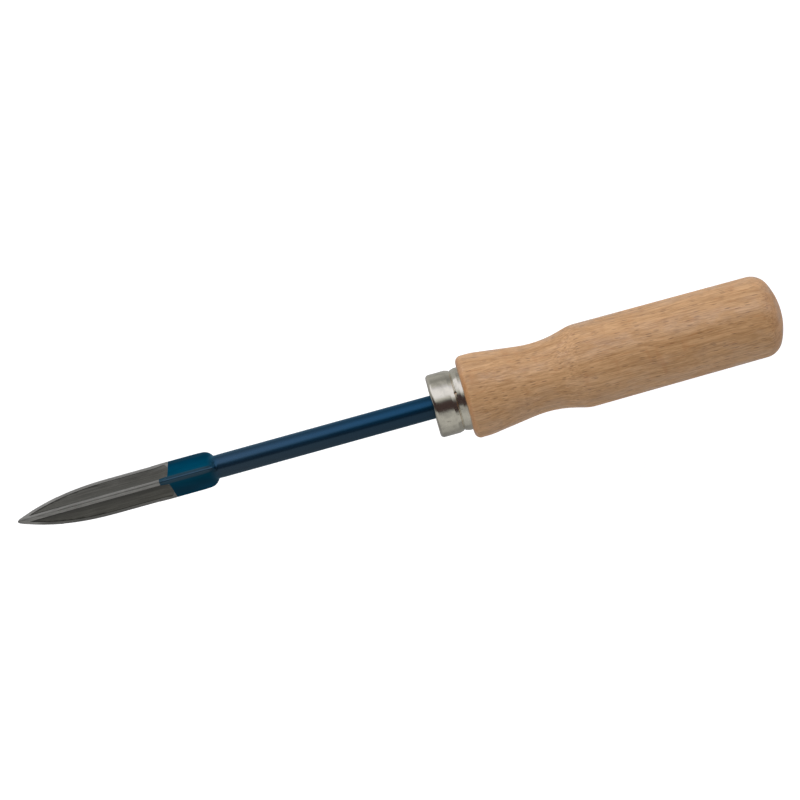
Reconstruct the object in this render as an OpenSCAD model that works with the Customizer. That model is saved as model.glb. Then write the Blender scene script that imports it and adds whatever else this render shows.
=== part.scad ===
/* [Overall] */
// Length from the point of the blade to the butt of the handle
tool_l = 265; // [255:1:280]
// Length of steel that shows ahead of the ferrule
steel_l = 144.2; // [135:0.1:155]

/* [Blade] */
// Length of the three-edged head, from its point to its shoulder
head_l = 69; // [64:0.5:76]
// Distance from the point to the rear end of the ground faces
ground_l = 52.6; // [50:0.1:56]
// Distance from the axis to the ground face of each side
face_r = 3.54; // [3.4:0.01:3.6]
// Distance from the axis to the floor of each hollow
hollow_r = 2.92; // [2.7:0.01:3.1]
// Radius of the hollow across the blade
hollow_curve = 13.4; // [12:0.1:16]
// Distance from the point at which the blade starts to narrow
taper_l = 34.2; // [33:0.1:38]
// Radius of the grinding wheel that leaves the run-out at the rear
wheel_r = 25; // [20:1:40]

/* [Forging] */
// Distance from the axis to each forged face, beside its dish
forged_face_r = 4; // [3.9:0.05:4.2]
// Radius of the forged edges
forged_edge_r = 0.9; // [0.7:0.05:1]
// Depth of the shallow dish in each forged face
dish_depth = 0.5; // [0.2:0.05:0.6]
// Radius of the shoulder behind the head
shoulder_r = 3.2; // [2.5:0.1:3.4]
// Diameter of the round shank
shank_d = 8; // [7.5:0.1:8.4]

/* [Tang] */
// Depth to which the round shank enters the handle
socket_l = 12; // [8:1:20]
// Length of the square tang behind the round shank
tang_l = 48; // [30:1:60]
// Side of the tang where it starts
tang_root_w = 5.4; // [4.5:0.1:5.6]
// Side of the tang at its tip
tang_tip_w = 2.4; // [1.5:0.1:3]
// Clearance between the pieces that are driven together
fit_gap = 0.02; // [0.01:0.01:0.05]

/* [Ferrule] */
// Length of the ferrule
ferrule_l = 11.1; // [10.8:0.1:13]
// Outer diameter of the ferrule
ferrule_d = 21.6; // [21:0.1:22]
// Thickness of the ferrule's wall
ferrule_wall = 0.8; // [0.6:0.05:0.9]
// Radius of the lip that turns in at the front
lip_r = 1.2; // [1:0.05:1.4]
// Distance from the ferrule's front to the middle of the rolled groove
groove_at = 8.45; // [8:0.05:8.6]
// Depth of the rolled groove
groove_depth = 0.7; // [0.4:0.05:0.75]
// Width of the rolled groove
groove_w = 3.8; // [3:0.1:4]
// Depth to which the ferrule's rear edge beds into the handle's face
ferrule_bed = 0.2; // [0.1:0.05:0.5]

/* [Handle] */
// Diameter of the front swell
front_d = 28.4; // [27:0.1:30]
// Diameter of the waist
waist_d = 23.74; // [23:0.01:25]
// Diameter of the grip where it is fullest
grip_d = 28.6; // [27:0.1:30]
// Diameter of the grip near the butt
butt_d = 27.84; // [26:0.01:29]
// Radius of the front edge
front_edge_r = 2.2; // [1.5:0.1:2.4]
// Radius of the butt's edge
butt_edge_r = 6.7; // [4:0.1:8]
// Radius of the domed butt
butt_dome_r = 23; // [20:1:40]

/* [Hidden] */
$fn = 96;
big = 40;

// Stations are distances from the point. The origin lies on the axis, in the middle of the
// ferrule's plain band, so every solid is moved back by this much.
band_l = groove_at - groove_w / 2 - lip_r;
origin_at = steel_l + lip_r + band_l / 2;
handle_at = steel_l + ferrule_l;

// ---- turned outlines: a path of [x, r, fillet] corners becomes a smooth outline ----

arc_step = 7.5;

function unit(v) = v / norm(v);
function turn(a, b) = a[0] * b[1] - a[1] * b[0];

// The points of one rounded corner, between the corners before and after it
function corner_arc(before, at, after) =
    let (
        p = [at[0], at[1]],
        u = unit([before[0], before[1]] - p),
        w = unit([after[0], after[1]] - p),
        half = acos(u * w) / 2,
        reach = at[2] / tan(half),
        centre = p + unit(u + w) * at[2] / sin(half),
        start = p + u * reach - centre,
        sweep = (180 - 2 * half) * sign(turn(-u, w)),
        steps = max(2, ceil(abs(sweep) / arc_step))
    )
    [for (i = [0 : steps])
        let (a = sweep * i / steps)
        centre + [start[0] * cos(a) - start[1] * sin(a), start[0] * sin(a) + start[1] * cos(a)]];

function rounded(path) =
    [for (i = [0 : len(path) - 1])
        each (path[i][2] == 0
            ? [[path[i][0], path[i][1]]]
            : corner_arc(path[i - 1], path[i], path[(i + 1) % len(path)]))];

// Turns an [x, r] outline about the X axis
module turned(outline) {
    rotate([0, 90, 0])
        rotate_extrude()
            mirror([1, 0]) rotate(90) polygon(outline);
}

module at_station(x) {
    translate([x - origin_at, 0, 0]) children();
}

// ---- the blade: three equal sides about the X axis ----

sides = [60, 180, 300];
forged_edge_at = 2 * (forged_face_r - forged_edge_r);
shoulder_at_r = forged_edge_at + forged_edge_r + 0.1;
shank_lap = 0.6;
lip_hole_r = ferrule_d / 2 - lip_r - 0.6;

// Side k's outward direction becomes +Z for its children
module on_side(k) {
    rotate([k, 0, 0]) children();
}

// A smooth curve brings the ground face down to the axis, a little blunt at the point
point_r = 0.3;
taper_power = 2.45;
function face_at(x) =
    point_r + (face_r - point_r) * (1 - pow(max(0, 1 - x / taper_l), taper_power));
face_line = concat([[0, 0]], [for (i = [1 : 10]) let (x = taper_l * pow(i / 10, 1.7)) [x, face_at(x)]]);

// At the rear the wheel leaves the steel along an arc of its own radius
runout_rise = forged_face_r - face_r;
runout_l = sqrt(2 * wheel_r * runout_rise - runout_rise * runout_rise);
runout_at = ground_l - runout_l;
runout_turn = asin(runout_l / wheel_r);
runout_line = [for (i = [0 : 6]) let (a = runout_turn * i / 4)
    [runout_at + wheel_r * sin(a), face_r + wheel_r * (1 - cos(a))]];

// What the flat grinding takes off one side, as an outline along the blade
module face_waste() {
    polygon(concat([[-1, big], [-1, 0]], face_line, runout_line,
                   [[runout_line[6][0], big]]));
}

// The floor of a hollow bends down to the point along two arcs. It is ground in straight
// passes, each one touching the arcs where they lean by its own angle.
hollow_a_r = 385;
hollow_b_r = 100;
hollow_a_end = 16;
hollow_a_turn = asin((taper_l - hollow_a_end) / hollow_a_r);
hollow_a_mid = [taper_l, hollow_r - hollow_a_r];
hollow_b_mid = hollow_a_mid + (hollow_a_r - hollow_b_r) * [-sin(hollow_a_turn), cos(hollow_a_turn)];
hollow_leans = [0, 1.6, 4.5, 9];
hollow_touches = [for (lean = hollow_leans)
    (lean <= hollow_a_turn ? hollow_a_mid + hollow_a_r * [-sin(lean), cos(lean)]
                           : hollow_b_mid + hollow_b_r * [-sin(lean), cos(lean)])];
pass_lap = 3.5;
wheel_sink = 0.03;

// One straight pass of a wheel whose rim is round, from half way to the next pass on
// towards the point, to half way to the one behind it
module hollow_pass(i) {
    last = len(hollow_leans) - 1;
    x = [for (touch = hollow_touches) touch[0]];
    ahead = (i == last ? x[i] + 3 : (x[i] - x[i + 1]) / 2 + pass_lap);
    behind = (i == 0 ? runout_at - x[0] : (x[i - 1] - x[i]) / 2 + pass_lap);
    translate([x[i], 0, hollow_touches[i][1]])
        rotate([0, -hollow_leans[i], 0])
            translate([-ahead, 0, hollow_curve])
                rotate([0, 90, 0])
                    cylinder(r = hollow_curve, h = ahead + behind);
}

// The wheel itself, standing where it leaves the hollow
module wheel() {
    translate([runout_at, 0, hollow_r - wheel_sink + wheel_r])
        rotate([90, 0, 0])
            rotate_extrude()
                intersection() {
                    translate([wheel_r - hollow_curve, 0]) circle(hollow_curve);
                    translate([0, -big]) square([big, 2 * big]);
                }
}

// Cross-section of the forged head: a triangle with round edges and dished faces
module forged_section() {
    c = forged_edge_at;
    half_w = c * sin(60);
    dish_half = half_w - 1;
    dish_r = (pow(dish_half, 2) + pow(dish_depth, 2)) / 2 / dish_depth;
    difference() {
        union() {
            for (k = sides) rotate(k) {
                translate([0, -c]) circle(forged_edge_r);
                polygon([[-half_w, 0], [half_w, 0],
                         [half_w, forged_face_r], [-half_w, forged_face_r]]);
            }
        }
        for (k = sides) rotate(k)
            translate([0, forged_face_r - dish_depth + dish_r]) circle(dish_r);
    }
}

module forged_head() {
    intersection() {
        rotate([90, 0, 90]) linear_extrude(head_l) forged_section();
        turned(rounded([[-1, 0, 0], [-1, shoulder_at_r, 0],
                        [head_l, shoulder_at_r, shoulder_r], [head_l, 0, 0]]));
    }
}

// The square tapered tang, grown by a gap all round where it shapes its own hole
module tang(gap) {
    start = handle_at + socket_l - 1;
    end = handle_at + socket_l + tang_l;
    side = [[start, -tang_root_w / 2 - gap], [end + gap, -tang_tip_w / 2 - gap],
            [end + gap, tang_tip_w / 2 + gap], [start, tang_root_w / 2 + gap]];
    intersection() {
        linear_extrude(big, center = true) polygon(side);
        rotate([90, 0, 0]) linear_extrude(big, center = true) polygon(side);
    }
}

module round_shank(from, gap) {
    translate([from, 0, 0])
        rotate([0, 90, 0])
            cylinder(d = shank_d + 2 * gap, h = handle_at + socket_l + gap - from);
}

module scraper_blade() {
    color([0.2, 0.3, 0.4]) at_station(0) {
        difference() {
            forged_head();
            for (k = sides) on_side(k) {
                rotate([90, 0, 0]) linear_extrude(big, center = true) face_waste();
                for (i = [0 : len(hollow_leans) - 1]) hollow_pass(i);
                wheel();
            }
        }
        round_shank(head_l - shank_lap, 0);
        tang(0);
    }
}

// ---- the ferrule, a thin cup rolled on to the handle's tenon ----

// The ferrule's surface, moved inwards by an inset; the outer one has no inset
function ferrule_line(inset) =
    let (r = ferrule_d / 2 - inset, dip = groove_depth * 1.2)
    [[steel_l + inset, r, max(lip_r - inset, 0.3)],
     [steel_l + groove_at - groove_w / 2, r, 0.6],
     [steel_l + groove_at, r - dip, 1.1],
     [steel_l + groove_at + groove_w / 2, r, 0.6],
     [handle_at + ferrule_bed + max(inset - ferrule_wall, 0), r, 0]];

function backwards(path) = [for (i = [len(path) - 1 : -1 : 0]) path[i]];

module ferrule() {
    color([0.75, 0.74, 0.7]) at_station(0)
        turned(rounded(concat(
            [[steel_l, lip_hole_r, 0]], ferrule_line(0),
            backwards(ferrule_line(ferrule_wall)), [[steel_l + ferrule_wall, lip_hole_r, 0]])));
}

// ---- the turned handle ----

function arc(mid, r, from, to, n) =
    [for (i = [0 : n]) let (a = from + (to - from) * i / n) mid + r * [cos(a), sin(a)]];

// The butt's edge and dome are two arcs that meet smoothly
edge_mid_r = butt_d / 2 - butt_edge_r;
edge_lean = asin(edge_mid_r / (butt_dome_r - butt_edge_r));
edge_mid_x = tool_l - butt_dome_r + (butt_dome_r - butt_edge_r) * cos(edge_lean);
butt_line = concat(
    arc([edge_mid_x, edge_mid_r], butt_edge_r, 90, edge_lean, 10),
    arc([tool_l - butt_dome_r, 0], butt_dome_r, edge_lean * 0.8, 0, 4));

// Where the two slopes beside the waist would meet, and the radius that blends them
waist_curve_r = 37;
waist_sharp = 0.7;

handle_line = concat(
    [[handle_at + ferrule_bed + fit_gap, ferrule_d / 2 + fit_gap, 0],
     [handle_at, ferrule_d / 2 + fit_gap, 0],
     [handle_at, front_d / 2, front_edge_r],
     [handle_at + 5.6, front_d / 2, 22],
     [handle_at + 28.2, waist_d / 2 - waist_sharp, waist_curve_r],
     [handle_at + 39.8, grip_d / 2, 13]],
    [for (p = butt_line) [p[0], p[1], 0]]);

module handle() {
    color([0.78, 0.62, 0.45]) at_station(0)
        difference() {
            turned(rounded(concat(
                [[steel_l + ferrule_wall + fit_gap, 0, 0]],
                ferrule_line(ferrule_wall + fit_gap), handle_line)));
            round_shank(steel_l - 1, fit_gap);
            tang(fit_gap);
        }
}

scraper_blade();
ferrule();
handle();
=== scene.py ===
"""A three-edged hand scraper: a ground and blued blade, a nickel-plated ferrule and a beech handle."""

import math

import bpy
from mathutils import Matrix, Vector


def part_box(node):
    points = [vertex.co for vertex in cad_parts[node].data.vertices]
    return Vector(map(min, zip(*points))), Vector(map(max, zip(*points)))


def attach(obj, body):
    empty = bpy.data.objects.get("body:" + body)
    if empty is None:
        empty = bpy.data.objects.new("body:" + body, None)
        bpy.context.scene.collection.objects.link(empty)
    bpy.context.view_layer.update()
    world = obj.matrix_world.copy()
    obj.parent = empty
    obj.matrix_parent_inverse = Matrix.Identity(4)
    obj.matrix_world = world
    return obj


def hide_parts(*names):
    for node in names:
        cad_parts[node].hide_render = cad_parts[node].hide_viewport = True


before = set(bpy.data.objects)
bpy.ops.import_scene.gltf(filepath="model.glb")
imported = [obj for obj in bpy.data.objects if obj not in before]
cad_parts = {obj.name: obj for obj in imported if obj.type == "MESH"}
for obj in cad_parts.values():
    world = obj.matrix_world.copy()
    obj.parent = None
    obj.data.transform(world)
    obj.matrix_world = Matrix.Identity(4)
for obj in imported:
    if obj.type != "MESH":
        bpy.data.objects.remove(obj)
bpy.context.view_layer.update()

bl_info = {
    "name": "Three-edged hand scraper",
    "version": (1, 0, 0),
    "blender": (4, 5, 0),
    "location": "View3D > Sidebar > Scraper",
    "description": "Builds a hollow-ground three-edged scraper, its ferrule and its handle, and lights it",
    "category": "Add Mesh",
}

MM = 0.001
FULL_TURN = 2 * math.pi
THIRD_TURN = FULL_TURN / 3

# A primitive that lies flat is turned by this to look along +X, with its first point at +Z.
LOOK_ALONG_X = (math.pi / 2, 0, math.pi / 2)

# Places along the tool's axis, from the frame.
POINT_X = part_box("scraper_blade")[0].x
FERRULE_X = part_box("ferrule")[0].x
FERRULE_END_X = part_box("ferrule")[1].x
TENON_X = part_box("handle")[0].x
BUTT_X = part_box("handle")[1].x
TANG_END_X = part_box("scraper_blade")[1].x
GRIP_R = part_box("handle")[1].z
FERRULE_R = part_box("ferrule")[1].z


def distance(label, words, default):
    """A length that a user may change, in metres."""
    return bpy.props.FloatProperty(
        name=label, description=words, default=default, precision=5, subtype="DISTANCE", unit="LENGTH"
    )


def tint(label, words, default):
    """A colour that a user may change."""
    return bpy.props.FloatVectorProperty(
        name=label, description=words, default=default, size=3, min=0, max=1, subtype="COLOR"
    )


class BladeSizes(bpy.types.PropertyGroup):
    """Sizes and colours of the forged and ground blade."""

    head_length: distance("Head length", "From the point to the shoulder", 69 * MM)
    taper_length: distance("Taper length", "From the point to where the blade is full width", 34.2 * MM)
    ground_face: distance("Ground face", "From the axis to each flat ground face", 3.54 * MM)
    point_face: distance("Blunt point", "The same distance where the point begins", 0.3 * MM)
    land: distance("Land", "Width of the flat strip beside each cutting edge", 1.85 * MM)
    hollow_radius: distance("Hollow radius", "Radius of each hollow across the blade", 13.4 * MM)
    wheel_radius: distance("Wheel radius", "Radius of the wheel's run-out at the rear", 25 * MM)
    runout_start: distance("Run-out", "From the point to where the wheel starts to rise", 47.8 * MM)
    forged_face: distance("Forged face", "From the axis to the forged face beside its edge", 4 * MM)
    forged_edge: distance("Forged edge", "From the axis to the top of each rounded edge", 7.1 * MM)
    dish: distance("Dish", "From the axis to the middle of each forged face", 3.45 * MM)
    shank_radius: distance("Shank radius", "Radius of the round shank", 4 * MM)
    socket: distance("Socket", "How far the round shank goes into the handle", 12 * MM)
    tang_width: distance("Tang width", "Side of the square tang where it starts", 5.4 * MM)
    tang_tip: distance("Tang tip", "Side of the square tang at its end", 2.43 * MM)
    blue: tint("Blue", "Colour of the blued head", (0.002, 0.085, 0.17))
    shank_blue: tint("Shank blue", "Colour of the blued shank behind the head", (0.014, 0.05, 0.098))
    deep_blue: tint("Deep blue", "Colour of the blued shank near the handle", (0.002, 0.045, 0.108))
    # Also the colour of the painted sheen along the blade's +Y edge.
    worn_and_sheen_blue: tint("Worn blue", "Colour where the blue is rubbed", (0.05, 0.085, 0.11))
    # The colour of the painted shade on the -Y side of the head and shank.
    shaded_side_blue: tint("Dull blue", "Colour of the blue on the far side", (0.018, 0.032, 0.045))
    ground_end: distance("Ground end", "From the point to where the blue begins on a face", 52.3 * MM)
    ground_lean: bpy.props.FloatProperty(
        name="Ground lean", description="How much further back the blue begins for each step sideways",
        default=0.205)
    ridge_end: distance("Ridge end", "From the point to where the blue begins on the ridge", 49.6 * MM)
    worn_edge: distance("Worn edge", "How far each cutting edge is worn back on each side", 0.11 * MM)
    land_steel: tint("Land steel", "Colour of the flat ground lands", (0.44, 0.435, 0.41))
    hollow_steel: tint("Hollow steel", "Colour of the ground hollows", (0.175, 0.172, 0.152))


class FerruleSizes(bpy.types.PropertyGroup):
    """Sizes and colour of the ferrule."""

    wall: distance("Wall", "Thickness of the metal", 0.8 * MM)
    lip_radius: distance("Lip", "Radius of the lip that turns in at the front", 1.2 * MM)
    lip_width: distance("Lip width", "How far the lip reaches in past its curve", 0.6 * MM)
    groove_at: distance("Groove", "From the front to the middle of the rolled groove", 8.3 * MM)
    groove_depth: distance("Groove depth", "Depth of the rolled groove", 0.72 * MM)
    groove_width: distance("Groove width", "Width of the rolled groove", 3.3 * MM)
    bed: distance("Bed", "How far the rear edge beds into the handle", 0.2 * MM)
    nickel: tint("Nickel", "Colour of the plating", (0.72, 0.685, 0.58))


class HandleSizes(bpy.types.PropertyGroup):
    """Sizes and colours of the turned handle."""

    front_radius: distance("Front swell", "Radius of the front swell", 14.2 * MM)
    front_edge: distance("Front edge", "Radius of the front edge", 2.2 * MM)
    waist_at: distance("Waist", "From the front face to the waist", 28.2 * MM)
    waist_radius: distance("Waist radius", "Radius that the slopes beside the waist meet at", 11.17 * MM)
    grip_at: distance("Grip", "From the front face to where the grip is fullest", 39.8 * MM)
    butt_radius: distance("Butt radius", "Radius of the handle near the butt", 13.92 * MM)
    butt_edge: distance("Butt edge", "Radius of the butt's edge", 6.7 * MM)
    butt_dome: distance("Butt dome", "Radius of the domed butt", 23 * MM)
    beech: tint("Beech", "Main colour of the wood", (0.575, 0.325, 0.15))
    fleck: tint("Fleck", "Colour of the small dark flecks", (0.17, 0.08, 0.035))
    stain: tint("Stain", "Colour of the orange streaks, smudges and end grain", (0.46, 0.20, 0.07))


class StageSizes(bpy.types.PropertyGroup):
    """The floor, the lights and the camera."""

    floor_drop: distance("Floor", "From the tool's axis down to the floor", 0.09)
    floor_size: distance("Floor size", "Side of the square floor", 6.0)
    picture_width: distance("Picture width", "What the picture takes in, from side to side", 268 * MM)
    centre_x: distance("Centre along", "From the point to the middle of the picture", 134.2 * MM)
    centre_y: distance("Centre across", "From the tool's axis to the middle of the picture", 5.2 * MM)


# ---- small helpers for modelling by hand ----


def deselect_all():
    if bpy.context.object and bpy.context.object.mode != "OBJECT":
        bpy.ops.object.mode_set(mode="OBJECT")
    bpy.ops.object.select_all(action="DESELECT")


def take_up(name):
    """Names the primitive that was just added and puts its place into its mesh."""
    piece = bpy.context.object
    piece.name = piece.data.name = name
    bpy.ops.object.transform_apply(location=True, rotation=True, scale=True)
    return piece


def make_active(piece):
    deselect_all()
    piece.select_set(True)
    bpy.context.view_layer.objects.active = piece


def edit(piece, by="VERT"):
    make_active(piece)
    bpy.ops.object.mode_set(mode="EDIT")
    bpy.ops.mesh.select_mode(type=by)


def pick_points(piece, wanted):
    """Selects the points whose place passes a test, and nothing else."""
    edit(piece)
    bpy.ops.mesh.select_all(action="DESELECT")
    bpy.ops.object.mode_set(mode="OBJECT")
    for v in piece.data.vertices:
        v.select = wanted(v.co)
    bpy.ops.object.mode_set(mode="EDIT")


def pick_faces(piece, wanted):
    """Selects the faces that pass a test, and nothing else."""
    edit(piece, "FACE")
    bpy.ops.mesh.select_all(action="DESELECT")
    bpy.ops.object.mode_set(mode="OBJECT")
    for face in piece.data.polygons:
        face.select = wanted(face)
    bpy.ops.object.mode_set(mode="EDIT")


def extrude_by(x, y=0.0, z=0.0):
    bpy.ops.mesh.extrude_region_move(TRANSFORM_OT_translate={"value": (x, y, z)})


def apply_modifier(piece, kind, **settings):
    make_active(piece)
    modifier = piece.modifiers.new(kind.title(), kind)
    for key, value in settings.items():
        setattr(modifier, key, value)
    bpy.ops.object.modifier_apply(modifier=modifier.name)


def cut(piece, cutter):
    """Takes the cutter's shape out of a piece, and leaves the cutter's material on the cut."""
    apply_modifier(piece, "BOOLEAN", operation="DIFFERENCE", solver="EXACT", object=cutter,
                   material_mode="TRANSFER")
    bpy.data.objects.remove(cutter)


def rounded(path, step=math.radians(4)):
    """An outline of (x, r) points from corners of (x, r, fillet radius)."""
    outline = []
    for i, (x, r, fillet) in enumerate(path):
        at = Vector((x, r))
        if fillet == 0:
            outline.append((x, r))
            continue
        before = (Vector(path[i - 1][:2]) - at).normalized()
        after = (Vector(path[(i + 1) % len(path)][:2]) - at).normalized()
        half = before.angle(after) / 2
        centre = at + (before + after).normalized() * fillet / math.sin(half)
        start = at + before * fillet / math.tan(half) - centre
        sweep = math.pi - 2 * half
        side = 1 if before.x * after.y - before.y * after.x < 0 else -1
        count = max(2, math.ceil(sweep / step))
        for k in range(count + 1):
            turn = side * sweep * k / count
            c, s = math.cos(turn), math.sin(turn)
            outline.append((centre.x + start.x * c - start.y * s, centre.y + start.x * s + start.y * c))
    return outline


def spaced(outline, longest):
    """The same outline with long straight stretches divided."""
    points = [outline[0]]
    for a, b in zip(outline, outline[1:]):
        count = max(1, math.ceil(math.dist(a, b) / longest))
        points += [(a[0] + (b[0] - a[0]) * k / count, a[1] + (b[1] - a[1]) * k / count)
                   for k in range(1, count + 1)]
    return points


def turn_on_lathe(name, outline, steps):
    """Draws an outline above the axis point by point, and spins it once round the axis."""
    deselect_all()
    x, r = outline[0]
    bpy.ops.mesh.primitive_plane_add(size=MM, location=(x, 0, r))
    piece = take_up(name)
    edit(piece)
    bpy.ops.mesh.select_all(action="SELECT")
    bpy.ops.mesh.merge(type="CENTER")
    for a, b in zip(outline, outline[1:]):
        extrude_by(b[0] - a[0], 0, b[1] - a[1])
    bpy.ops.mesh.select_all(action="SELECT")
    bpy.ops.mesh.spin(steps=steps, angle=FULL_TURN, center=(0, 0, 0), axis=(1, 0, 0))
    bpy.ops.mesh.select_all(action="SELECT")
    bpy.ops.mesh.remove_doubles(threshold=0.002 * MM)
    bpy.ops.mesh.normals_make_consistent(inside=False)
    bpy.ops.object.mode_set(mode="OBJECT")
    return piece


def smooth(piece, sharp_degrees):
    make_active(piece)
    bpy.ops.object.shade_smooth_by_angle(angle=math.radians(sharp_degrees))


def finish_piece(piece, node):
    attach(piece, "root")
    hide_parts(node)


# ---- materials ----

# The attribute that says how much painted shade lies at a point of the blade, along the creases where a
# hollow meets its lands.
CREASE_SHADE = "grime"
# The blade's finishes, in the order of its material slots.
BLUED, GROUND_LAND, GROUND_HOLLOW = range(3)


class Value:
    """A socket of a material's nodes that Python's operators work on."""

    def __init__(self, paint, socket):
        self.paint, self.socket = paint, socket

    def maths(self, operation, other, swap=False):
        values = [other, self] if swap else [self, other]
        return self.paint.node("ShaderNodeMath", {"operation": operation}, dict(enumerate(values)))

    def __add__(self, other):
        return self.maths("ADD", other)

    def __sub__(self, other):
        return self.maths("SUBTRACT", other)

    def __rsub__(self, other):
        return self.maths("SUBTRACT", other, swap=True)

    def __mul__(self, other):
        return self.maths("MULTIPLY", other)

    __radd__ = __add__
    __rmul__ = __mul__

    def step(self, low, high):
        """0 below low, 1 above high and smooth between. The two may be the other way round."""
        settings = {"interpolation_type": "SMOOTHSTEP"}
        return self.paint.node("ShaderNodeMapRange", settings, {0: self, 1: low, 2: high, 3: 0.0, 4: 1.0})


class Paint:
    """A material, whose nodes are added one call at a time."""

    def __init__(self, name, **constants):
        self.material = bpy.data.materials.new(name)
        self.material.use_nodes = True
        self.tree = self.material.node_tree
        self.shader = self.tree.nodes["Principled BSDF"]
        for key, value in constants.items():
            self.feed(key.replace("_", " "), value)

    @classmethod
    def over(cls, tree):
        """The same node calls for a tree that isn't a material's."""
        paint = cls.__new__(cls)
        paint.tree = tree
        return paint

    def set_socket(self, socket, value):
        if isinstance(value, Value):
            self.tree.links.new(value.socket, socket)
        elif socket.type == "RGBA":
            socket.default_value = (*value[:3], 1.0)
        else:
            socket.default_value = value

    def node(self, kind, settings=None, sockets=None, out=0):
        """Adds a node, sets it up, fills its sockets, and returns one of its outputs."""
        node = self.tree.nodes.new(kind)
        for key, value in (settings or {}).items():
            if key == "stops":
                self.set_stops(node.color_ramp, value)
            else:
                setattr(node, key, value)
        for key, value in (sockets or {}).items():
            self.set_socket(node.inputs[key], value)
        return Value(self, node.outputs[out])

    def set_stops(self, ramp, stops):
        while len(ramp.elements) < len(stops):
            ramp.elements.new(0.5)
        for element, (place, colour) in zip(ramp.elements, stops):
            element.position = place
            element.color = (*colour, 1.0)

    def feed(self, socket, value):
        self.set_socket(self.shader.inputs[socket], value)

    def place(self):
        """The point's own place on the piece, in metres."""
        return self.node("ShaderNodeTexCoord", {}, {}, out="Object")

    def along(self, axis):
        return self.node("ShaderNodeSeparateXYZ", {}, {0: self.place()}, out=axis)

    def in_cells(self, size, at=None, turned=0.0):
        """A place counted in cells of a size on each axis, in millimetres, turned a little about Z."""
        scale = [edge * MM for edge in size]
        sockets = {"Vector": at or self.place(), "Scale": scale, "Rotation": (0, 0, turned)}
        return self.node("ShaderNodeMapping", {"vector_type": "TEXTURE"}, sockets)

    def noise(self, size, detail=3.0, rough=0.5, seed=0.0, at=None, turned=0.0, out=0):
        """Noise whose cells measure a size in millimetres on each axis."""
        sockets = {"Vector": self.in_cells(size, at, turned), "W": seed, "Scale": 1.0, "Detail": detail,
                   "Roughness": rough}
        return self.node("ShaderNodeTexNoise", {"noise_dimensions": "4D"}, sockets, out)

    def vector(self, operation, a, b, out=0):
        return self.node("ShaderNodeVectorMath", {"operation": operation}, {0: a, 1: b}, out)

    def mix(self, factor, a, b):
        """A colour between a and b."""
        return self.node("ShaderNodeMix", {"data_type": "RGBA"}, {0: factor, 6: a, 7: b}, out=2)

    def bump(self, height, depth):
        """A Bump node for a height from 0 to 1 that stands for a depth in metres."""
        return self.node("ShaderNodeBump", {}, {"Height": height, "Distance": depth, "Strength": 1.0})


def blued_steel(sizes):
    """Steel blued by heat: teal on the head, deeper towards the handle, worn greyer on the ridge, with a
    painted sheen along the +Y edge and painted shade on the -Y side.
    """
    paint = Paint("blued_steel", Specular_Tint=(0.45, 0.8, 1.0), Coat_Roughness=0.14)
    x, y, z = paint.along(0), paint.along(1), paint.along(2)
    cloud = paint.noise((14, 5, 5), detail=4, seed=1.3)
    scale = paint.noise((0.7, 0.4, 0.4), detail=3, seed=4.1)
    on_shank = x.step(POINT_X + sizes.head_length - 3 * MM, POINT_X + sizes.head_length + 2 * MM)
    toward_handle = x.step(POINT_X + sizes.head_length, FERRULE_X)
    light = [c * 1.3 for c in sizes.blue]
    dark = [c * 0.72 for c in sizes.blue]
    colour = paint.mix(cloud.step(0.3, 0.7), dark, light)
    colour = paint.mix(on_shank * 0.9, colour, paint.mix(toward_handle, sizes.shank_blue, sizes.deep_blue))
    ridge = z.step(5.2 * MM, 6.4 * MM) * (1 - on_shank)
    colour = paint.mix(0.6 * ridge, colour, sizes.worn_and_sheen_blue)
    # Painted shade: the -Y side of the head and shank is darker and duller, more so on the shank.
    shaded_far_side = y.step(0.5 * MM, -1.5 * MM)
    colour = paint.mix(shaded_far_side * (0.5 + 0.2 * on_shank), colour, sizes.shaded_side_blue)
    # Painted sheen: the head's edge at +Y is greyer and lighter, on that side only.
    rim = y.step(4.6 * MM, 5.8 * MM)
    colour = paint.mix(0.5 * rim, colour, sizes.worn_and_sheen_blue)
    paint.feed("Base Color", colour)
    paint.feed("Roughness", 0.24 + 0.16 * cloud - 0.1 * on_shank)
    paint.feed("Metallic", 1 - 0.35 * on_shank)
    paint.feed("Coat Weight", on_shank * (0.38 - 0.25 * toward_handle) + 0.4 * ridge)
    paint.feed("Normal", paint.bump(scale, 0.01 * MM))
    return paint.material


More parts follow.
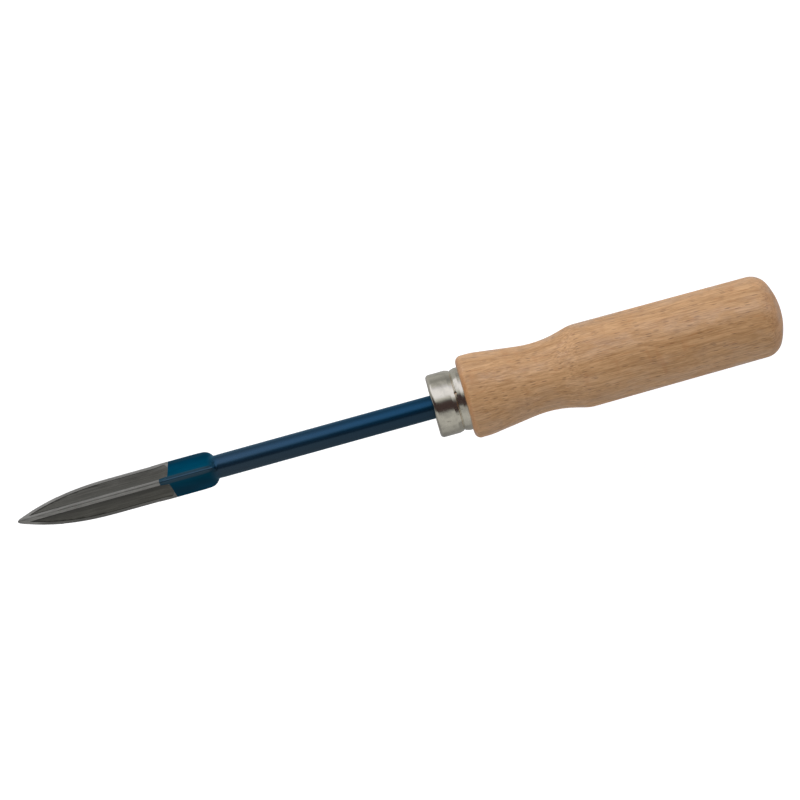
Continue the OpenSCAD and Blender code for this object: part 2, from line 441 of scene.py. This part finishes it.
def ground_steel(name, colour, seed, in_hollow):
    """Steel as a grinding wheel leaves it, with streaks along the blade; painted shade along the hollows'
    edges, beside the ridge and on the -Y side, and a painted dark reflection along the ridge's crest.
    """
    paint = Paint(name, Metallic=1.0)
    y = paint.along(1)
    bands = paint.noise((30, 0.8, 0.8), detail=2, seed=seed + 9)
    streaks = paint.noise((5.5, 0.22, 0.22), detail=3, seed=seed)
    grit = paint.noise((0.5, 0.3, 0.3), detail=3, seed=seed + 2)
    cloud = paint.noise((5, 2, 2), detail=3, seed=seed + 5)
    light = [c * 1.3 for c in colour]
    dark = [c * 0.7 for c in colour]
    # The colour of the painted shade beside the ridge and on the -Y side.
    grime = (0.03, 0.03, 0.025)
    tone = 0.35 * bands + 0.25 * streaks + 0.2 * cloud + 0.2 * grit
    colour = paint.mix(tone.step(0.36, 0.64), dark, light)
    if in_hollow:
        # Painted shade: the hollow goes nearly black along the crease where it meets its lands.
        border = paint.node("ShaderNodeAttribute", {"attribute_name": CREASE_SHADE}, {}, out=2)
        colour = paint.mix(0.92 * border, colour, (0.025, 0.025, 0.02))
        # Painted shade: a dark band in the hollow on the -Y side of the ridge.
        shade_beside_ridge = y.step(-3 * MM, -1.1 * MM) * y.step(0, -0.3 * MM)
        colour = paint.mix(0.42 * shade_beside_ridge, colour, grime)
        far_side_shade_amount = 0.12
    else:
        # Painted reflection: a thin dark line along the crest of the ridge at +Z.
        crest_reflection_line = y.step(-0.15 * MM, 0.05 * MM) * y.step(0.45 * MM, 0.22 * MM)
        colour = paint.mix(0.5 * crest_reflection_line, colour, (0.06, 0.06, 0.05))
        far_side_shade_amount = 0.5
    # Painted shade: the -Y side of the blade is darker, strongly on the lands and faintly in the hollows.
    colour = paint.mix(far_side_shade_amount * y.step(-2 * MM, -3 * MM), colour, grime)
    paint.feed("Base Color", colour)
    paint.feed("Roughness", 0.36 + 0.2 * cloud)
    paint.feed("Normal", paint.bump(0.5 * streaks + 0.5 * grit, 0.03 * MM))
    return paint.material


def nickel_plate(sizes):
    """Soft bright nickel with a few dull patches and shallow dents."""
    paint = Paint("nickel_plate", Metallic=1.0)
    cloud = paint.noise((4, 4, 4), detail=4, seed=2.2)
    dents = paint.noise((2.6, 2.6, 2.6), detail=1, seed=7.7)
    marks = paint.noise((1.6, 0.5, 0.5), detail=3, seed=3.4).step(0.62, 0.7)
    dull = [c * 0.72 for c in sizes.nickel]
    colour = paint.mix(cloud.step(0.45, 0.75), sizes.nickel, dull)
    paint.feed("Base Color", paint.mix(0.45 * marks, colour, (0.2, 0.17, 0.13)))
    paint.feed("Roughness", 0.08 + 0.16 * cloud + 0.15 * marks)
    paint.feed("Normal", paint.bump(dents, 0.05 * MM))
    return paint.material


def varnished_beech(sizes):
    """Flat-sawn beech: fine wavy streaks along the handle, small dark flecks, and a thin worn varnish."""
    paint = Paint("varnished_beech", Coat_Roughness=0.2)
    wander = paint.vector("SUBTRACT", paint.noise((24, 8, 8), detail=2, seed=1.0, out=1), (0.5, 0.5, 0.5))
    wood = paint.vector("ADD", paint.place(), paint.vector("MULTIPLY", wander, (0, 3 * MM, 3 * MM)))
    lean = math.radians(-2)
    fibre = paint.noise((9, 0.46, 0.46), detail=3, rough=0.6, seed=5.0, at=wood, turned=lean)
    fine = paint.noise((2.6, 0.24, 0.24), detail=2, seed=6.0, at=wood, turned=lean)
    band = paint.noise((60, 3.2, 3.2), detail=2, seed=7.0, at=wood, turned=lean)
    light = [min(1, c * k) for c, k in zip(sizes.beech, (1.2, 1.27, 1.36))]
    dark = [c * k for c, k in zip(sizes.beech, (0.69, 0.64, 0.53))]
    colour = paint.mix((0.55 * fibre + 0.2 * fine + 0.25 * band).step(0.34, 0.66), dark, light)

    orange = paint.noise((5.5, 0.42, 0.42), detail=2, seed=11.0, at=wood, turned=lean).step(0.56, 0.68)
    colour = paint.mix(0.42 * orange, colour, sizes.stain)
    smudge = paint.noise((4, 12, 12), detail=2, seed=12.0).step(0.58, 0.72)
    colour = paint.mix(0.3 * smudge, colour, sizes.stain)

    cells = {"Vector": paint.in_cells((3.4, 0.5, 0.5), wood, lean), "Scale": 1.0, "Randomness": 1.0}
    middle = paint.node("ShaderNodeTexVoronoi", {}, cells)
    cell_colour = paint.node("ShaderNodeTexVoronoi", {}, cells, out=1)
    chance = paint.node("ShaderNodeSeparateColor", {}, {0: cell_colour})
    colour = paint.mix(0.6 * middle.step(0.42, 0.2) * chance.step(0.45, 0.95), colour, sizes.fleck)

    # Stain gathers on the front edge and in the end grain of the butt.
    x = paint.along(0)
    front_edge = x.step(FERRULE_END_X + 1.6 * MM, FERRULE_END_X + 0.2 * MM)
    ends = front_edge * 0.55 + x.step(BUTT_X - 9 * MM, BUTT_X) * 0.4
    colour = paint.mix(ends, colour, sizes.stain)
    paint.feed("Base Color", colour)
    paint.feed("Roughness", 0.5 + 0.15 * fibre)
    patches = paint.noise((7, 3, 3), detail=3, seed=14.0).step(0.42, 0.62)
    paint.feed("Coat Weight", 0.12 + 0.85 * patches)
    paint.feed("Normal", paint.bump(0.6 * fibre + 0.4 * fine, 0.05 * MM))
    return paint.material


def pale_floor():
    """A plain white floor that glows a little, so that it stays as bright as the room."""
    paint = Paint("pale_floor", Roughness=0.9, Specular_IOR_Level=0.1, Emission_Color=(1, 1, 1),
                  Emission_Strength=0.52)
    grain = paint.noise((25, 25, 25), detail=2)
    paint.feed("Base Color", paint.mix(grain, (0.86, 0.86, 0.86), (0.88, 0.88, 0.88)))
    return paint.material


# ---- the blade ----

# The forging is a cage of this many points around, which a Subdivision Surface draws in to this share.
CAGE_POINTS = 48
CAGE_LIMIT = (2 + math.cos(FULL_TURN / CAGE_POINTS)) / 3


def forged_reach(sizes, angle):
    """From the axis to the forged surface, at an angle from the middle of a face, for the cage."""
    top = math.radians(60)
    if angle > top - FULL_TURN / CAGE_POINTS / 2:
        beside = sizes.forged_face / math.cos(top - FULL_TURN / CAGE_POINTS)
        return (sizes.forged_edge * 3 - beside * math.cos(FULL_TURN / CAGE_POINTS)) / 2
    edge_y = sizes.forged_face * math.tan(math.radians(48))
    deep = sizes.forged_face - sizes.dish
    height = sizes.dish
    for _ in range(8):
        height = min(sizes.forged_face, sizes.dish + deep * (height * math.tan(angle) / edge_y) ** 2)
    return height / math.cos(angle)


def shape_ring_to_forging(piece, sizes):
    """Draws the ring's points in or out, a few at a time, to a triangle with dished sides."""
    step = FULL_TURN / CAGE_POINTS

    def from_face_middle(co):
        turned = math.atan2(co.y, -co.z) % THIRD_TURN
        return min(turned, THIRD_TURN - turned)

    for k in range(CAGE_POINTS // 6 + 1):
        angle = k * step
        pick_points(piece, lambda co: abs(from_face_middle(co) - angle) < step / 4)
        factor = forged_reach(sizes, angle) / sizes.shank_radius
        bpy.ops.transform.resize(value=(1, factor, factor), center_override=(0, 0, 0))
    bpy.ops.mesh.select_all(action="SELECT")
    bpy.ops.mesh.edge_face_add()


def forge(sizes):
    """The forging before it is ground: a soft-edged head drawn out of a round bar."""
    start = POINT_X - 3 * MM
    deselect_all()
    bpy.ops.mesh.primitive_circle_add(vertices=CAGE_POINTS, radius=sizes.shank_radius, fill_type="NOTHING",
                                      location=(start, 0, 0), rotation=LOOK_ALONG_X)
    piece = take_up("scraper_blade_forging")
    shape_ring_to_forging(piece, sizes)
    shoulder = POINT_X + sizes.head_length
    at = start
    straight = [POINT_X + 20 * MM, POINT_X + 44 * MM, shoulder - 12 * MM, shoulder - 7.5 * MM]
    for x in straight:
        extrude_by(x - at)
        at = x
    # Each ring of the shoulder: its place from the shoulder in millimetres, how far drawn in, how round.
    shoulder_rings = [(-4.6, 0.995, 0.0), (-3.0, 0.993, 0.03), (-2.1, 0.98, 0.08), (-1.3, 0.975, 0.18),
                      (-0.65, 0.967, 0.35), (-0.15, 0.96, 0.62), (0.15, 0.975, 0.9), (0.6, 1.0, 1.0)]
    for offset, squeeze, roundness in shoulder_rings:
        extrude_by(shoulder + offset * MM - at)
        at = shoulder + offset * MM
        bpy.ops.transform.resize(value=(1, squeeze, squeeze), center_override=(at, 0, 0))
        bpy.ops.transform.tosphere(value=roundness, center_override=(at, 0, 0))
    bpy.ops.object.mode_set(mode="OBJECT")
    reach = max(v.co.z for v in piece.data.vertices if v.co.x > at - MM * 0.1)
    bpy.ops.object.mode_set(mode="EDIT")
    extrude_by(0.8 * MM)
    at += 0.8 * MM
    fit = sizes.shank_radius / CAGE_LIMIT / reach
    bpy.ops.transform.resize(value=(1, fit, fit), center_override=(at, 0, 0))
    end = FERRULE_END_X + sizes.socket
    for x in [at + 3 * MM, at + 30 * MM, at + 60 * MM, end - 3 * MM, end]:
        extrude_by(x - at)
        at = x
    bpy.ops.mesh.edge_face_add()
    bpy.ops.mesh.select_all(action="SELECT")
    bpy.ops.mesh.normals_make_consistent(inside=False)
    apply_modifier(piece, "SUBSURF", levels=2, render_levels=2)
    return piece


def face_height(sizes, x):
    """From the axis to the ground face, at a distance x from the point."""
    if x > sizes.runout_start:
        rise = min(x - sizes.runout_start, sizes.wheel_radius * 0.9)
        return sizes.ground_face + sizes.wheel_radius - math.sqrt(sizes.wheel_radius**2 - rise**2)
    if x < 0:
        return sizes.point_face + x * 0.9
    left = max(0.0, 1 - x / sizes.taper_length)
    return sizes.point_face + (sizes.ground_face - sizes.point_face) * (1 - left**2.45)


def floor_height(sizes, x):
    """From the axis to the floor of the hollow, which leaves the same land all along the blade."""
    face = face_height(sizes, min(x, sizes.runout_start))
    half = math.sqrt(3) * face - sizes.land
    depth = half * abs(half) / 2 / sizes.hollow_radius
    return face_height(sizes, x) - max(depth, -0.05 * MM)


def sweep(piece, height, sizes, start, end, count):
    """Extrudes the face along the blade in short steps that follow a height."""
    edit(piece)
    bpy.ops.mesh.select_all(action="SELECT")
    span = end - start
    places = [start + span * k / count for k in range(count + 1)]
    for a, b in zip(places, places[1:]):
        extrude_by(b - a, 0, height(sizes, b) - height(sizes, a))
    bpy.ops.mesh.select_all(action="SELECT")
    bpy.ops.mesh.normals_make_consistent(inside=False)
    bpy.ops.object.mode_set(mode="OBJECT")
    return piece


def face_grinder(sizes, side, material):
    """What flat grinding takes off one side of the blade."""
    start, deep, wide = -4.5 * MM, 12 * MM, 30 * MM
    deselect_all()
    bpy.ops.mesh.primitive_plane_add(size=1, rotation=(0, math.pi / 2, 0),
                                     location=(POINT_X + start, 0, face_height(sizes, start) + deep / 2))
    bpy.context.object.scale = (deep, wide, 1)
    piece = take_up("face_grinder")
    sweep(piece, face_height, sizes, start, 56 * MM, 70)
    return turned_to_side(piece, side, material)


def point_stone(material):
    """What a stone takes off ahead of the point, which is left a little blunt."""
    deselect_all()
    bpy.ops.mesh.primitive_cube_add(size=20 * MM, location=(POINT_X - 10 * MM, 0, 0))
    piece = take_up("point_stone")
    piece.data.materials.append(material)
    return piece


def hollow_grinder(sizes, side, material):
    """What the round rim of a wheel takes out of one side of the blade."""
    start = 2.4 * MM
    deselect_all()
    bpy.ops.mesh.primitive_circle_add(
        vertices=180, radius=sizes.hollow_radius, fill_type="NGON", rotation=LOOK_ALONG_X,
        location=(POINT_X + start, 0, floor_height(sizes, start) + sizes.hollow_radius))
    piece = take_up("hollow_grinder")
    sweep(piece, floor_height, sizes, start, 58 * MM, 70)
    return turned_to_side(piece, side, material)


def turned_to_side(piece, side, material):
    """Turns a cutter about the tool's axis to the side that it cuts."""
    if material:
        piece.data.materials.append(material)
    make_active(piece)
    bpy.ops.transform.rotate(value=side, orient_axis="X", center_override=(0, 0, 0))
    bpy.ops.object.transform_apply(location=True, rotation=True, scale=True)
    return piece


def wear_cutting_edges(piece, sizes):
    """Takes the keenness off the three cutting edges, behind the point."""
    edit(piece, "EDGE")
    bpy.ops.mesh.select_all(action="DESELECT")
    bpy.ops.object.mode_set(mode="OBJECT")

    def keen(co):
        around = math.atan2(co.y, co.z) % THIRD_TURN
        off_line = min(around, THIRD_TURN - around)
        x = co.x - POINT_X
        far = math.hypot(co.y, co.z)
        return 14 * MM < x < sizes.runout_start and off_line < 0.01 and far > 1.9 * face_height(sizes, x)

    points = piece.data.vertices
    for line in piece.data.edges:
        line.select = all(keen(points[i].co) for i in line.vertices)
    bpy.ops.object.mode_set(mode="EDIT")
    bpy.ops.mesh.bevel(offset=sizes.worn_edge, segments=1, affect="EDGES")
    piece.active_material_index = GROUND_HOLLOW
    bpy.ops.object.material_slot_assign()
    bpy.ops.object.mode_set(mode="OBJECT")


def paint_crease_shade(piece):
    """Notes the points where a hollow meets its lands, and the next row in, for the painted shade along that
    crease.
    """
    points, faces = piece.data.vertices, piece.data.polygons
    slots = [set() for _ in points]
    for face in faces:
        for i in face.vertices:
            slots[i].add(face.material_index)
    border = [{GROUND_LAND, GROUND_HOLLOW} <= found for found in slots]
    values = [float(on_border) for on_border in border]
    for face in faces:
        if face.material_index == GROUND_HOLLOW and any(border[i] for i in face.vertices):
            for i in face.vertices:
                values[i] = max(values[i], 0.7)
    piece.data.attributes.new(CREASE_SHADE, "FLOAT", "POINT").data.foreach_set("value", values)


def end_ground_finish(piece, sizes):
    """Ends the ground finish in a line that leans back on each face, and further forward on the ridge."""
    first, last = POINT_X + sizes.runout_start - 1 * MM, POINT_X + sizes.runout_start + 9 * MM
    ridge_z = 5.45 * MM
    ridge_x, face_x = POINT_X + sizes.ridge_end, POINT_X + sizes.ground_end

    def near(face):
        return first < face.center.x < last

    cuts = [
        (near, (0, 0, ridge_z), (0, 0, 1)),
        (lambda face: near(face) and face.center.z > ridge_z, (ridge_x, 0, 0), (1, 0, 0)),
        (lambda face: near(face) and face.center.y > 0, (face_x, 0, 0), (1, -sizes.ground_lean, 0)),
        (lambda face: near(face) and face.center.y <= 0, (face_x, 0, 0), (1, sizes.ground_lean, 0)),
    ]
    for wanted, at, direction in cuts:
        pick_faces(piece, wanted)
        bpy.ops.mesh.bisect(plane_co=at, plane_no=direction)
    bpy.ops.object.mode_set(mode="OBJECT")
    for face in piece.data.polygons:
        if near(face):
            x, y, z = face.center
            end = ridge_x if z > ridge_z else face_x + sizes.ground_lean * abs(y)
            if x > end:
                face.material_index = BLUED
            elif face.material_index == BLUED:
                face.material_index = GROUND_LAND


def mark_ground_edges(piece):
    """Marks every edge where two finishes meet, and every edge between two ground faces, as sharp."""
    make_active(piece)
    bpy.ops.object.shade_smooth()
    for index in range(len(piece.data.materials)):
        pick_faces(piece, lambda face: face.material_index == index)
        bpy.ops.mesh.region_to_loop()
        bpy.ops.mesh.mark_sharp()
    bpy.ops.mesh.select_all(action="DESELECT")
    bpy.ops.mesh.select_mode(type="EDGE")
    bpy.ops.mesh.edges_select_sharp(sharpness=math.radians(35))
    bpy.ops.mesh.mark_sharp()
    bpy.ops.object.mode_set(mode="OBJECT")


def add_tang(piece, sizes):
    """The square tang, drawn down from the end of the round shank."""
    start = FERRULE_END_X + sizes.socket - 0.5 * MM
    length = TANG_END_X - start
    edit(piece)
    bpy.ops.mesh.select_all(action="DESELECT")
    bpy.ops.mesh.primitive_cube_add(size=1, location=(start + length / 2, 0, 0),
                                    scale=(length, sizes.tang_width, sizes.tang_width))
    pick_points(piece, lambda co: co.x > TANG_END_X - 0.01 * MM)
    narrow = sizes.tang_tip / sizes.tang_width
    bpy.ops.transform.resize(value=(1, narrow, narrow), center_override=(TANG_END_X, 0, 0))
    bpy.ops.object.mode_set(mode="OBJECT")


class SCRAPER_OT_blade(bpy.types.Operator):
    """Forge the blade and its shank, then grind its three faces and their hollows"""

    bl_idname = "scraper.blade"
    bl_label = "Blade"

    def execute(self, context):
        sizes = context.scene.scraper_blade
        piece = forge(sizes)
        piece.data.materials.append(blued_steel(sizes))
        land_steel = ground_steel("ground_land_steel", sizes.land_steel, 1.0, in_hollow=False)
        hollow_steel = ground_steel("ground_hollow_steel", sizes.hollow_steel, 6.0, in_hollow=True)
        sides = [math.radians(60) + k * THIRD_TURN for k in range(3)]
        for side in sides:
            cut(piece, face_grinder(sizes, side, land_steel))
        for side in sides:
            cut(piece, hollow_grinder(sizes, side, hollow_steel))
        cut(piece, point_stone(land_steel))
        paint_crease_shade(piece)
        wear_cutting_edges(piece, sizes)
        mark_ground_edges(piece)
        end_ground_finish(piece, sizes)
        add_tang(piece, sizes)
        apply_modifier(piece, "WEIGHTED_NORMAL", keep_sharp=True)
        finish_piece(piece, "scraper_blade")
        return {"FINISHED"}


# ---- the ferrule ----


def ferrule_path(sizes, inset):
    """Corners of the ferrule's skin, moved in by an inset."""
    r = FERRULE_R - inset
    half = sizes.groove_width / 2
    groove = FERRULE_X + sizes.groove_at
    slope_end, crease = 0.3 * MM, sizes.groove_depth * 0.45
    middle = [(groove - slope_end, r - sizes.groove_depth + crease, 0.3 * MM),
              (groove, r - sizes.groove_depth, 0.12 * MM),
              (groove + slope_end, r - sizes.groove_depth + crease, 0.3 * MM)]
    return [
        (FERRULE_X + inset, r, max(sizes.lip_radius - inset, 0.3 * MM)),
        (groove - half, r, 0.7 * MM),
        *(middle if inset == 0 else [(groove, r - sizes.groove_depth / 2, 1 * MM)]),
        (groove + half, r, 0.7 * MM),
        (FERRULE_END_X, r, 0.25 * MM if inset == 0 else 0),
    ]


def centre_punch(sizes, around):
    """The point of a punch, driven into the bottom of the groove."""
    deselect_all()
    depth = FERRULE_R - sizes.groove_depth + 0.25 * MM
    bpy.ops.mesh.primitive_uv_sphere_add(segments=24, ring_count=12, radius=0.7 * MM, scale=(0.7, 1.3, 1),
                                         location=(FERRULE_X + sizes.groove_at, 0, depth))
    return turned_to_side(take_up("centre_punch"), -around, None)


class SCRAPER_OT_ferrule(bpy.types.Operator):
    """Roll the thin ferrule with its lip and its groove, and stake it to the wood"""

    bl_idname = "scraper.ferrule"
    bl_label = "Ferrule"

    def execute(self, context):
        sizes = context.scene.scraper_ferrule
        hole = FERRULE_R - sizes.lip_radius - sizes.lip_width
        outline = rounded([(FERRULE_X + sizes.wall, hole, 0.3 * MM), (FERRULE_X, hole, 0.3 * MM),
                           *ferrule_path(sizes, 0), *ferrule_path(sizes, sizes.wall)[::-1]])
        outline.append(outline[0])
        piece = turn_on_lathe("ferrule_shell", spaced(outline, 1.2 * MM), 256)
        piece.data.materials.append(nickel_plate(sizes))
        for k in range(3):
            cut(piece, centre_punch(sizes, -math.radians(13) + k * THIRD_TURN))
        smooth(piece, 30)
        finish_piece(piece, "ferrule")
        return {"FINISHED"}


# ---- the handle ----


def butt_outline(sizes):
    """The butt's edge and its dome, two arcs that meet smoothly."""
    edge, dome = sizes.butt_edge, sizes.butt_dome
    edge_r = sizes.butt_radius - edge
    lean = math.asin(edge_r / (dome - edge))
    edge_x = BUTT_X - dome + (dome - edge) * math.cos(lean)
    quarter = math.pi / 2
    turns = [quarter + (lean - quarter) * k / 24 for k in range(25)]
    outline = [(edge_x + edge * math.cos(t), edge_r + edge * math.sin(t)) for t in turns]
    turns = [lean * (1 - k / 14) for k in range(1, 15)]
    return outline + [(BUTT_X - dome + dome * math.cos(t), dome * math.sin(t)) for t in turns]


class SCRAPER_OT_handle(bpy.types.Operator):
    """Turn the beech handle, with its tenon and the hole for the shank"""

    bl_idname = "scraper.handle"
    bl_label = "Handle"

    def execute(self, context):
        sizes = context.scene.scraper_handle
        rim = context.scene.scraper_ferrule
        blade = context.scene.scraper_blade
        front = FERRULE_END_X - rim.bed
        gap = 0.02 * MM
        hole_r = blade.shank_radius + gap
        hole_end = FERRULE_END_X + blade.socket + gap
        tenon = ferrule_path(rim, rim.wall + gap)[:-1]
        path = [
            (hole_end, 0, 0), (hole_end, hole_r, 0), (TENON_X, hole_r, 0.3 * MM), *tenon,
            (FERRULE_END_X, FERRULE_R - rim.wall - gap, 0), (FERRULE_END_X, FERRULE_R + gap, 0),
            (front, FERRULE_R + gap, 0), (front, sizes.front_radius, sizes.front_edge),
            (front + 5.6 * MM, sizes.front_radius, 22 * MM),
            (front + sizes.waist_at, sizes.waist_radius, 37 * MM),
            (front + sizes.grip_at, GRIP_R, 13 * MM),
        ]
        outline = rounded([*path, (*butt_outline(sizes)[0], 0)])[:-1] + butt_outline(sizes)
        piece = turn_on_lathe("beech_handle", spaced(outline, 1.5 * MM), 256)
        piece.data.materials.append(varnished_beech(sizes))
        smooth(piece, 35)
        finish_piece(piece, "handle")
        return {"FINISHED"}


# ---- the stage ----

# The tool rises to the right in the view by this much.
VIEW_ROLL = math.radians(15.5)
# The camera stands this far over towards -Y from straight above.
VIEW_LEAN = math.radians(1.1)


def softbox(name, toward, far, size, power):
    """A soft light that faces the tool, in a direction (x, y, z) from it, and isn't seen in the metal."""
    bpy.ops.object.light_add(type="AREA")
    lamp = bpy.context.object
    lamp.name = name
    lamp.data.shape = "RECTANGLE"
    lamp.data.size, lamp.data.size_y = size
    lamp.data.energy = power
    direction = Vector(toward).normalized()
    lamp.location = direction * far
    lamp.rotation_euler = direction.to_track_quat("Z", "Y").to_euler()
    lamp.visible_glossy = False


def light_world(scene, up):
    """The room: dark straight above, bright next to that towards the top of the view, and grey elsewhere."""
    world = bpy.data.worlds.new("studio")
    scene.world = world
    world.use_nodes = True
    paint = Paint.over(world.node_tree)
    look = paint.node("ShaderNodeTexCoord", {}, {}, out="Generated")
    across = paint.node("ShaderNodeVectorMath", {"operation": "DOT_PRODUCT"}, {0: look, 1: up}, out=1)
    height = paint.node("ShaderNodeSeparateXYZ", {}, {0: look}, out=2)
    # How bright the room is at each sine from the bottom of the view (-1) to its top (1).
    greys_above = [(-1, 0.46), (-0.94, 0.52), (-0.64, 0.53), (-0.56, 0.5), (-0.5, 0.4), (-0.45, 0.15),
                   (-0.4, 0.04), (0.08, 0.04), (0.16, 0.15), (0.245, 0.42), (0.34, 0.66), (0.42, 0.9),
                   (0.5, 1.0), (0.78, 1.0), (0.866, 0.75), (0.927, 0.58), (0.974, 0.38), (1.0, 0.24)]
    greys_below = [(-1, 0.44), (-0.9, 0.38), (-0.75, 0.27), (0, 0.33), (0.5, 0.45), (0.85, 0.44),
                   (0.96, 0.3), (1, 0.26)]

    def ramp(greys):
        # The brightest part is a little cool and the darkest a little warm.
        stops = [((s + 1) / 2, (grey + 0.02 * (grey < 0.1), grey, grey + 0.1 * (grey > 0.7)))
                 for s, grey in greys]
        return paint.node("ShaderNodeValToRGB", {"stops": stops}, {0: across * 0.5 + 0.5})

    above, below = ramp(greys_above), ramp(greys_below)
    colour = paint.mix(height.step(-0.05, 0.05), below, above)
    paint.set_socket(world.node_tree.nodes["Background"].inputs["Color"], colour)


class SCRAPER_OT_stage(bpy.types.Operator):
    """Lay the pale floor and set up the soft lights and the camera"""

    bl_idname = "scraper.stage"
    bl_label = "Stage"

    def execute(self, context):
        sizes = context.scene.scraper_stage
        deselect_all()
        bpy.ops.mesh.primitive_plane_add(size=sizes.floor_size, location=(0, 0, -sizes.floor_drop))
        floor = take_up("floor")
        floor.data.materials.append(pale_floor())
        floor.visible_glossy = False

        up = Vector((math.sin(VIEW_ROLL), math.cos(VIEW_ROLL), 0))
        softbox("key_softbox", up * 0.44 + Vector((-0.16, 0, 0.88)), far=0.9, size=(1.8, 0.48), power=3.0)
        softbox("fill_softbox", (-0.57, 0.42, 0.72), far=1.0, size=(0.5, 0.8), power=2.0)
        light_world(context.scene, up)

        bpy.ops.object.camera_add()
        camera = bpy.context.object
        camera.name = "camera"
        camera.data.lens = 150
        camera.data.sensor_width = 36
        camera.data.clip_end = 50
        back = Vector((0, -math.sin(VIEW_LEAN), math.cos(VIEW_LEAN)))
        far = sizes.picture_width * camera.data.lens / camera.data.sensor_width
        right = Vector((math.cos(VIEW_ROLL), -math.sin(VIEW_ROLL), 0))
        camera_up = back.cross(right).normalized()
        right = camera_up.cross(back)
        centre = Vector((POINT_X + sizes.centre_x, sizes.centre_y, 0))
        camera.location = centre + back * far
        camera.rotation_mode = "QUATERNION"
        camera.rotation_quaternion = Matrix((right, camera_up, back)).transposed().to_quaternion()
        context.scene.camera = camera
        context.scene.view_settings.view_transform = "Standard"
        return {"FINISHED"}


class SCRAPER_PT_panel(bpy.types.Panel):
    """The scraper's sizes and the steps that build it"""

    bl_idname = "SCRAPER_PT_panel"
    bl_label = "Scraper"
    bl_space_type = "VIEW_3D"
    bl_region_type = "UI"
    bl_category = "Scraper"

    def draw(self, context):
        for title, group, operator in STEPS:
            box = self.layout.box()
            box.label(text=title)
            sizes = getattr(context.scene, group)
            for name in sizes.__annotations__:
                box.prop(sizes, name)
            box.operator(operator)


STEPS = [
    ("Blade", "scraper_blade", "scraper.blade"),
    ("Ferrule", "scraper_ferrule", "scraper.ferrule"),
    ("Handle", "scraper_handle", "scraper.handle"),
    ("Stage", "scraper_stage", "scraper.stage"),
]
GROUPS = {
    "scraper_blade": BladeSizes,
    "scraper_ferrule": FerruleSizes,
    "scraper_handle": HandleSizes,
    "scraper_stage": StageSizes,
}
CLASSES = [*GROUPS.values(), SCRAPER_OT_blade, SCRAPER_OT_ferrule, SCRAPER_OT_handle, SCRAPER_OT_stage,
           SCRAPER_PT_panel]


def register():
    for cls in CLASSES:
        bpy.utils.register_class(cls)
    for name, group in GROUPS.items():
        setattr(bpy.types.Scene, name, bpy.props.PointerProperty(type=group))


def unregister():
    for name in GROUPS:
        delattr(bpy.types.Scene, name)
    for cls in reversed(CLASSES):
        bpy.utils.unregister_class(cls)


def main():
    register()
    bpy.ops.scraper.blade()
    bpy.ops.scraper.ferrule()
    bpy.ops.scraper.handle()
    bpy.ops.scraper.stage()


if __name__ == "__main__":
    main()
